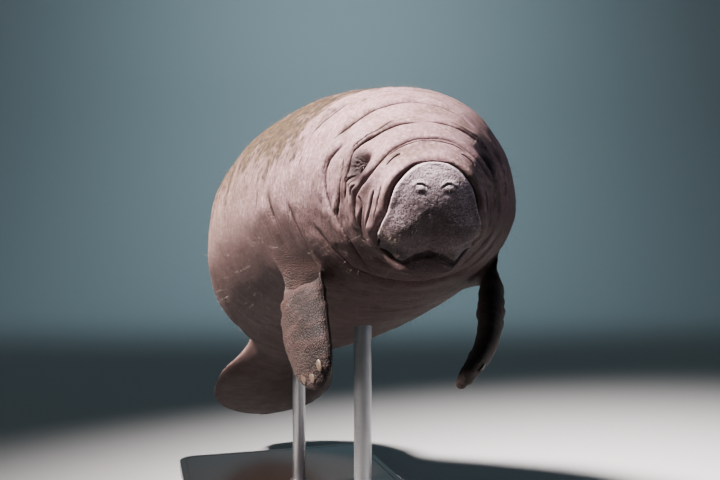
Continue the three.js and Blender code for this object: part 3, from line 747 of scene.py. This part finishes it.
tiny = add_node(tree, "TexNoise", None, {"Vector": spot, "Scale": 1 / 0.0035, "Detail": 3.0})
net_share = add_node(tree, "MapRange", None, {0: mark["disc"], 1: 0.0, 2: 1.0, 3: 0.28, 4: 0.1})
net_share = add_node(tree, "Math", MULTIPLY_ADD, {0: mark["limb"], 1: 0.35, 2: net_share})
net_height = add_node(tree, "Math", MULTIPLY, {0: net_height, 1: net_share})
pore_height = add_node(tree, "Math", MULTIPLY, {0: pore_height, 1: mark["disc"]})
relief = add_node(tree, "Math", {"operation": "ADD"}, {0: net_height, 1: pore_height})
relief = add_node(tree, "Math", MULTIPLY_ADD, {0: wrinkles, 1: -0.7, 2: relief})
relief = add_node(tree, "Math", MULTIPLY_ADD, {0: fold, 1: -1.5, 2: relief})
fine_bump = add_node(tree, "Bump", None, {"Strength": 0.6, "Distance": 0.0008, "Height": tiny})
bump = add_node(tree, "Bump", None, {"Strength": 1.0, "Distance": 0.0016, "Height": relief,
                                     "Normal": fine_bump})
dull = add_node(tree, "MapRange", None, {0: mottle, 1: 0.3, 2: 0.7, 3: 0.55, 4: 0.72})
shader = add_node(tree, "BsdfPrincipled", None, {"Base Color": colour, "Roughness": dull, "Normal": bump,
                                                 "Specular IOR Level": 0.2})
add_node(tree, "OutputMaterial", None, {"Surface": shader})


def put_in_scene(name, shape, material, smooth=False):
    """An object made of a mesh or of a bmesh, with its material."""
    mesh = shape
    if isinstance(shape, bmesh.types.BMesh):
        mesh = bpy.data.meshes.new(name)
        shape.to_mesh(mesh)
        shape.free()
    if smooth:
        mesh.shade_smooth()
    mesh.materials.append(material)
    made = bpy.data.objects.new(name, mesh)
    bpy.context.scene.collection.objects.link(made)
    return made


skin = put_in_scene("manatee_skin", skin_mesh, hide)
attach(skin, "root")
FLESH = ("muzzle", "head", "lower_jaw", "neck", "chest", "belly", "loins", "tail_stock", "tail_paddle",
         "flipper_left", "flipper_right")
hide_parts(*FLESH)

# Hair: single brown hairs set far apart over the whole trunk and leaning towards the tail, and short stiff
# bristles on the disc of the muzzle. Each kind is one joined mesh of tapered strands, in millimetres. Their
# UV map lays each strand in a patch at its root's place on the skin.
STRANDS = {
    "body_hairs": {"count": 2600, "length": (15, 32), "radius": 0.18, "lean": 0.8,
                   "colour": ("#766756", "#4a3f37")},
    "muzzle_bristles": {"count": 500, "length": (3, 7), "radius": 0.32, "lean": 0.1,
                        "colour": ("#a8957f", "#65554a")},
}
UV_PATCH = 0.003
ROOT_DEPTH, LEAN_SPREAD, TIP_BEND = 1.0, 0.35, 0.25
skin_mesh.calc_loop_triangles()
corners = np.zeros(len(skin_mesh.loop_triangles) * 3, np.int32)
skin_mesh.loop_triangles.foreach_get("vertices", corners)
corners = corners.reshape(-1, 3)
a, b, c = (shaped[corners[:, k]] for k in range(3))
areas = np.linalg.norm(np.cross(b - a, c - a), axis=1)
hairy = bare * (1 - disc) * soft(at, 60, 120) * (1 - soft(at, 2300, 2500)) * (1 - soft(eye_hollow_shade, 0, 0.1))
bristly = disc * bare * (1 - soft(at, 60, 80)) * (1 - soft(crease_shade, 0.1, 0.4))
bristly *= 0.25 + soft(-height, -20, 50)
strand = bmesh.new()
bmesh.ops.create_cone(strand, cap_ends=True, segments=3, radius1=1, radius2=0.2, depth=1)
bmesh.ops.translate(strand, vec=(0, 0, 0.5), verts=strand.verts)
bmesh.ops.bisect_plane(strand, geom=list(strand.verts) + list(strand.edges) + list(strand.faces),
                       plane_co=(0, 0, 0.5), plane_no=(0, 0, 1))
strand.verts.ensure_lookup_table()
shape = np.array([v.co for v in strand.verts])
sides = [[v.index for v in face.verts] for face in strand.faces]
strand.free()
rng = np.random.default_rng(11)
for (name, kind), cover in zip(STRANDS.items(), (hairy, bristly)):
    chance = areas * cover[corners].mean(1)
    chosen = corners[rng.choice(len(corners), kind["count"], p=chance / chance.sum())]
    shares = rng.dirichlet((1, 1, 1), kind["count"])

    def at_root(values):
        """Values of the skin at each strand's root."""
        return np.einsum("nk,nk...->n...", shares, values[chosen])

    out, tailward = at_root(skin_normal), frame_at(at_root(at))[1]
    out /= np.linalg.norm(out, axis=1)[:, None]
    back = tailward - out * (tailward * out).sum(1)[:, None]
    back += rng.normal(0, LEAN_SPREAD, back.shape)
    out = out + back * kind["lean"]
    out /= np.linalg.norm(out, axis=1)[:, None]
    side = np.cross(out, back)
    side /= np.linalg.norm(side, axis=1)[:, None]
    long = rng.uniform(*kind["length"], kind["count"])[:, None, None]
    x, y, z = (shape[None, :, k, None] for k in range(3))
    round_strand = side[:, None] * x + np.cross(out, side)[:, None] * y
    points = at_root(shaped)[:, None] + kind["radius"] * round_strand
    points = points + out[:, None] * (z * long - ROOT_DEPTH) + back[:, None] * z * z * long * TIP_BEND
    count = len(shape)
    faces = [[k * count + i for i in face] for k in range(kind["count"]) for face in sides]
    strand_mesh = bpy.data.meshes.new(name)
    strand_mesh.from_pydata((points.reshape(-1, 3) * MM).tolist(), [], faces)
    root_turn = np.arctan2(at_root(across), at_root(high)) / math.tau + 0.5
    root_uv = np.stack([root_turn, at_root(at) / PADDLE_TIP], 1)
    point_uv = root_uv[:, None] + UV_PATCH * (shape[None, :, (0, 2)] * (0.5, 1) - (0, 0.5))
    uv_layer = strand_mesh.uv_layers.new(name="OFBake")
    loops = np.zeros(len(strand_mesh.loops), np.int32)
    strand_mesh.loops.foreach_get("vertex_index", loops)
    uv_layer.data.foreach_set("uv", point_uv.reshape(-1, 2)[loops].astype(np.float32).ravel())
    keratin, tree = new_material(f"{name}_keratin")
    spot = add_node(tree, "TexCoord").outputs["Object"]
    varied = add_node(tree, "TexNoise", None, {"Vector": spot, "Scale": 1 / 0.02, "Detail": 2.0})
    light_colour, dark_colour = (hexcolor(tone) for tone in kind["colour"])
    colour = add_node(tree, "Mix", MIX, {0: varied, 1: light_colour, 2: dark_colour})
    shader = add_node(tree, "BsdfPrincipled", None, {"Base Color": colour, "Roughness": 0.5})
    add_node(tree, "OutputMaterial", None, {"Surface": shader})
    strands = put_in_scene(name, strand_mesh, keratin)
    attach(strands, "root")

# The eyes: glass balls painted behind, deep in their lids. Small and nearly black, with a brown iris that
# shows only close up. The iris and the pupil are rings about the point of the ball that faces out.
EYE_SEGMENTS, EYE_RINGS, IRIS, PUPIL = 32, 20, 5.2, 2.2
for side, (centre, axis) in eyes.items():
    ball = bmesh.new()
    bmesh.ops.create_uvsphere(ball, u_segments=EYE_SEGMENTS, v_segments=EYE_RINGS, radius=EYE_BALL * MM)
    turned = Vector((0, 0, 1)).rotation_difference(Vector(axis)).to_matrix().to_4x4()
    bmesh.ops.transform(ball, matrix=Matrix.Translation(Vector(centre) * MM) @ turned, verts=ball.verts)
    glass, tree = new_material(f"eye_glass_{side}")
    front = tuple((centre + axis * EYE_BALL) * MM)
    spot = add_node(tree, "TexCoord").outputs["Object"]
    away = add_node(tree, "VectorMath", {"operation": "DISTANCE"}, {0: spot, 1: front}).outputs["Value"]
    iris_mask = add_node(tree, "MapRange", None, {0: away, 1: IRIS * MM, 2: (IRIS + 1) * MM})
    pupil_mask = add_node(tree, "MapRange", None, {0: away, 1: PUPIL * MM, 2: (PUPIL + 0.4) * MM})
    rays = add_node(tree, "TexNoise", None, {"Vector": spot, "Scale": 1 / 0.001, "Detail": 2.0})
    brown = add_node(tree, "Mix", MIX, {0: rays, 1: hexcolor("#1b100b"), 2: hexcolor("#332015")})
    brown = add_node(tree, "Mix", MIX, {0: iris_mask, 1: brown, 2: hexcolor("#140e0d")})
    brown = add_node(tree, "Mix", MIX, {0: pupil_mask, 1: hexcolor("#050404"), 2: brown})
    shader = add_node(tree, "BsdfPrincipled", None, {"Base Color": brown, "Roughness": 0.06})
    add_node(tree, "OutputMaterial", None, {"Surface": shader})
    eye = put_in_scene(f"eyeball_{side}", ball, glass, smooth=True)
    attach(eye, "root")
    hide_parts(f"eye_{side}")

# The nails: three blunt plates of worn horn on the outer face of each flipper's end. Each is given by how far
# along the flipper it lies and where across it, and all by their half length, thickness and width.
NAILS = ((0.9, 0.62), (0.94, 0.12), (0.92, -0.4))
NAIL_HALF = (15, 4, 9)
horn, tree = new_material("nail_worn_horn")
spot = add_node(tree, "TexCoord").outputs["Object"]
layered = add_node(tree, "TexNoise", None, {"Vector": spot, "Scale": 1 / 0.004, "Detail": 5.0})
colour = add_node(tree, "Mix", MIX, {0: layered, 1: hexcolor("#2e261f"), 2: hexcolor("#5a4d40")})
bump = add_node(tree, "Bump", None, {"Strength": 0.5, "Distance": 0.0005, "Height": layered})
shader = add_node(tree, "BsdfPrincipled", None, {"Base Color": colour, "Roughness": 0.45, "Normal": bump})
add_node(tree, "OutputMaterial", None, {"Surface": shader})
for side in ("left", "right"):
    for number, (t, part) in enumerate(NAILS, 1):
        place, tangent, front, inward, half, thick = flipper_frame(side, t)
        centre = place + front * part * half - inward * math.sqrt(1 - part * part) * thick
        axes = Matrix([tangent, inward, np.cross(tangent, inward)]).transposed().to_4x4()
        plate = bmesh.new()
        bmesh.ops.create_uvsphere(plate, u_segments=24, v_segments=16, radius=MM)
        bmesh.ops.scale(plate, vec=NAIL_HALF, verts=plate.verts)
        bmesh.ops.transform(plate, matrix=Matrix.Translation(Vector(centre) * MM) @ axes, verts=plate.verts)
        bmesh.ops.recalc_face_normals(plate, faces=plate.faces)
        nail = put_in_scene(f"horn_nail_{side}_{number}", plate, horn, smooth=True)
        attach(nail, "root")
        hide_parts(f"nail_{side}_{number}")

# The stand's base: a rounded board of dark oak, with a routed line round its edge. Its satin lacquer lets the
# grain show, whose fibres are 6 mm across and run the board's length.
BOARD = (0.9, 2.3, 0.04)
BOARD_CORNER, BOARD_EDGE = 0.07, 0.004
ROUTED_LINE = ((0.022, 0.0), (0.0012, -0.0018), (0.0026, 0.0), (0.0012, 0.0018))
board = bmesh.new()
bmesh.ops.create_cube(board, size=1.0)
bmesh.ops.scale(board, vec=BOARD, verts=board.verts)
bmesh.ops.translate(board, vec=(0, 0, BOARD[2] / 2), verts=board.verts)
upright = [e for e in board.edges if abs(e.verts[0].co.z - e.verts[1].co.z) > BOARD[2] / 2]
bmesh.ops.bevel(board, geom=upright, offset=BOARD_CORNER, affect="EDGES", segments=10, profile=0.5,
                material=-1)
top = max(board.faces, key=lambda face: face.calc_center_median().z)
bmesh.ops.bevel(board, geom=list(top.edges), offset=BOARD_EDGE, affect="EDGES", segments=3, profile=0.5,
                material=-1)
top = max(board.faces, key=lambda face: face.calc_center_median().z)
for inset, sink in ROUTED_LINE:
    bmesh.ops.inset_region(board, faces=[top], thickness=inset, depth=0)
    bmesh.ops.translate(board, vec=(0, 0, sink), verts=top.verts)
lacquer, tree = new_material("dark_lacquered_oak")
spot = add_node(tree, "TexCoord").outputs["Object"]
stretched = add_node(tree, "Mapping", None, {"Vector": spot, "Scale": (1 / 0.006, 1 / 0.22, 1 / 0.02)})
fibres = add_node(tree, "TexNoise", None, {"Vector": stretched, "Scale": 1.0, "Detail": 5.0})
colour = add_node(tree, "Mix", MIX, {0: fibres, 1: hexcolor("#100c0a"), 2: hexcolor("#281d17")})
bump = add_node(tree, "Bump", None, {"Strength": 0.35, "Distance": 0.0004, "Height": fibres})
shader = add_node(tree, "BsdfPrincipled", None, {"Base Color": colour, "Roughness": 0.32, "Normal": bump,
                                                 "Coat Weight": 0.3, "Coat Roughness": 0.15})
add_node(tree, "OutputMaterial", None, {"Surface": shader})
stand_board = put_in_scene("stand_board", board, lacquer)
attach(stand_board, "root")
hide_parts("stand_base")

# The stand's two rods of brushed steel, each on a round flange held by four hexagon bolts, with a collar
# at its foot. They end inside the belly. The brushing runs round them, in lines 0.8 mm apart.
ROD_TURNS, ROD_INTO_BODY = 48, 0.006
COLLAR = {"wider": 0.009, "tall": 0.03}
BOLT = {"count": 4, "ring": 0.062, "radius": 0.0085, "tall": 0.006}
steel, tree = new_material("brushed_stainless_steel")
spot = add_node(tree, "TexCoord").outputs["Object"]
brushed = add_node(tree, "Mapping", None, {"Vector": spot, "Scale": (1 / 0.05, 1 / 0.05, 1 / 0.0008)})
lines = add_node(tree, "TexNoise", None, {"Vector": brushed, "Scale": 1.0, "Detail": 4.0})
colour = add_node(tree, "Mix", MIX, {0: lines, 1: hexcolor("#8f9092"), 2: hexcolor("#b4b5b6")})
rough = add_node(tree, "MapRange", None, {0: lines, 3: 0.25, 4: 0.42})
shader = add_node(tree, "BsdfPrincipled", None, {"Base Color": colour, "Metallic": 1.0, "Roughness": rough})
add_node(tree, "OutputMaterial", None, {"Surface": shader})


def turned_bar(mesh, radius, low, high, middle, sides, edge):
    """Adds an upright bar with a bevelled top edge to the bmesh."""
    made = bmesh.ops.create_cone(mesh, cap_ends=True, segments=sides, radius1=radius, radius2=radius,
                                 depth=high - low)
    bmesh.ops.translate(mesh, vec=(middle[0], middle[1], (low + high) / 2), verts=made["verts"])
    edges = {e for v in made["verts"] for e in v.link_edges}
    rim = {e for e in edges if all(abs(v.co.z - high) < 1e-6 for v in e.verts)}
    bmesh.ops.bevel(mesh, geom=list(rim), offset=edge, affect="EDGES", segments=3, profile=0.5, material=-1)


for where in ("front", "rear"):
    for part in ("rod", "flange"):
        (x0, y0, z0), (x1, y1, z1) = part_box(f"stand_{part}_{where}")
        radius, middle = (x1 - x0) / 2, ((x0 + x1) / 2, (y0 + y1) / 2)
        turned = bmesh.new()
        if part == "rod":
            turned_bar(turned, radius, z0, z1 + ROD_INTO_BODY, middle, ROD_TURNS, 0.002)
            turned_bar(turned, radius + COLLAR["wider"], z0, z0 + COLLAR["tall"], middle, ROD_TURNS, 0.003)
        else:
            turned_bar(turned, radius, z0, z1, middle, 64, 0.003)
            for k in range(BOLT["count"]):
                angle = math.pi / 4 + k * math.tau / BOLT["count"]
                place = (middle[0] + BOLT["ring"] * math.cos(angle),
                         middle[1] + BOLT["ring"] * math.sin(angle))
                turned_bar(turned, BOLT["radius"] * 1.25, z1, z1 + 0.0015, place, 24, 0.0004)
                turned_bar(turned, BOLT["radius"], z1, z1 + BOLT["tall"], place, 6, 0.0008)
        piece = put_in_scene(f"stand_steel_{part}_{where}", turned, steel)
        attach(piece, "root")
        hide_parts(f"stand_{part}_{where}")

# The floor, a wide sweep of pale paper that curves up behind the model, the lights and the camera.
CAMERA_PLACE = (-0.6341, -2.6019, 1.0648)
CAMERA_TURN = -16
CAMERA_LENS, CAMERA_SENSOR = 38.6, 36
SWEEP = {"half": 30.0, "behind": 9.0, "bend": 4.0, "tall": 16.0}
sheet = bmesh.new()
bmesh.ops.create_grid(sheet, x_segments=1, y_segments=1, size=SWEEP["half"])
bmesh.ops.translate(sheet, vec=(0, SWEEP["behind"] - SWEEP["half"], 0), verts=sheet.verts)
edge = [e for e in sheet.edges if all(v.co.y > SWEEP["behind"] - 0.1 for v in e.verts)]
bent = bmesh.ops.spin(sheet, geom=edge, cent=(0, SWEEP["behind"], SWEEP["bend"]), axis=(1, 0, 0),
                      angle=math.pi / 2, steps=20)
edge = [item for item in bent["geom_last"] if isinstance(item, bmesh.types.BMEdge)]
wall = bmesh.ops.extrude_edge_only(sheet, edges=edge)["geom"]
wall_top = [item for item in wall if isinstance(item, bmesh.types.BMVert)]
bmesh.ops.translate(sheet, vec=(0, 0, SWEEP["tall"]), verts=wall_top)
bmesh.ops.rotate(sheet, matrix=Matrix.Rotation(math.radians(CAMERA_TURN), 3, "Z"), verts=sheet.verts)
paper, tree = new_material("floor_paper")
shader = add_node(tree, "BsdfPrincipled", None, {"Base Color": hexcolor("#c3c8c9"), "Roughness": 0.95})
add_node(tree, "OutputMaterial", None, {"Surface": shader})
floor = put_in_scene("floor", sheet, paper, smooth=True)

world = bpy.data.worlds.new("studio")
bpy.context.scene.world = world
world.use_nodes = True
sky = world.node_tree.nodes["Background"].inputs
sky["Color"].default_value = hexcolor("#b4c6cc")
sky["Strength"].default_value = 0.1

# Each lamp: its place, what it points at, its width in metres, its beam in degrees, its watts and its colour.
LAMPS = {
    "key": ((-8.3, -1.3, 9.6), (0, -0.25, 1.05), 1.8, 18, 205, "#fff0ec"),
    "fill": ((3.5, -3.4, 1.8), (0, -0.6, 1.0), 3.0, 120, 8, "#93aae6"),
    "backdrop": ((1.5, 5.0, 8.0), (3.0, 13.0, 3.0), 4.0, 120, 230, "#bfe0ee"),
}
for name, (place, aim, wide, beam, power, colour) in LAMPS.items():
    light = bpy.data.lights.new(name, "AREA")
    light.size = wide
    light.spread = math.radians(beam)
    light.energy = power
    light.color = hexcolor(colour)[:3]
    lamp = bpy.data.objects.new(name, light)
    lamp.location = place
    lamp.rotation_euler = (Vector(aim) - Vector(place)).to_track_quat("-Z", "Y").to_euler()
    bpy.context.scene.collection.objects.link(lamp)

camera_data = bpy.data.cameras.new("camera")
camera_data.lens = CAMERA_LENS
camera_data.sensor_width = CAMERA_SENSOR
camera = bpy.data.objects.new("camera", camera_data)
camera.location = CAMERA_PLACE
camera.rotation_euler = (math.radians(90), 0, math.radians(CAMERA_TURN))
bpy.context.scene.collection.objects.link(camera)
bpy.context.scene.camera = camera
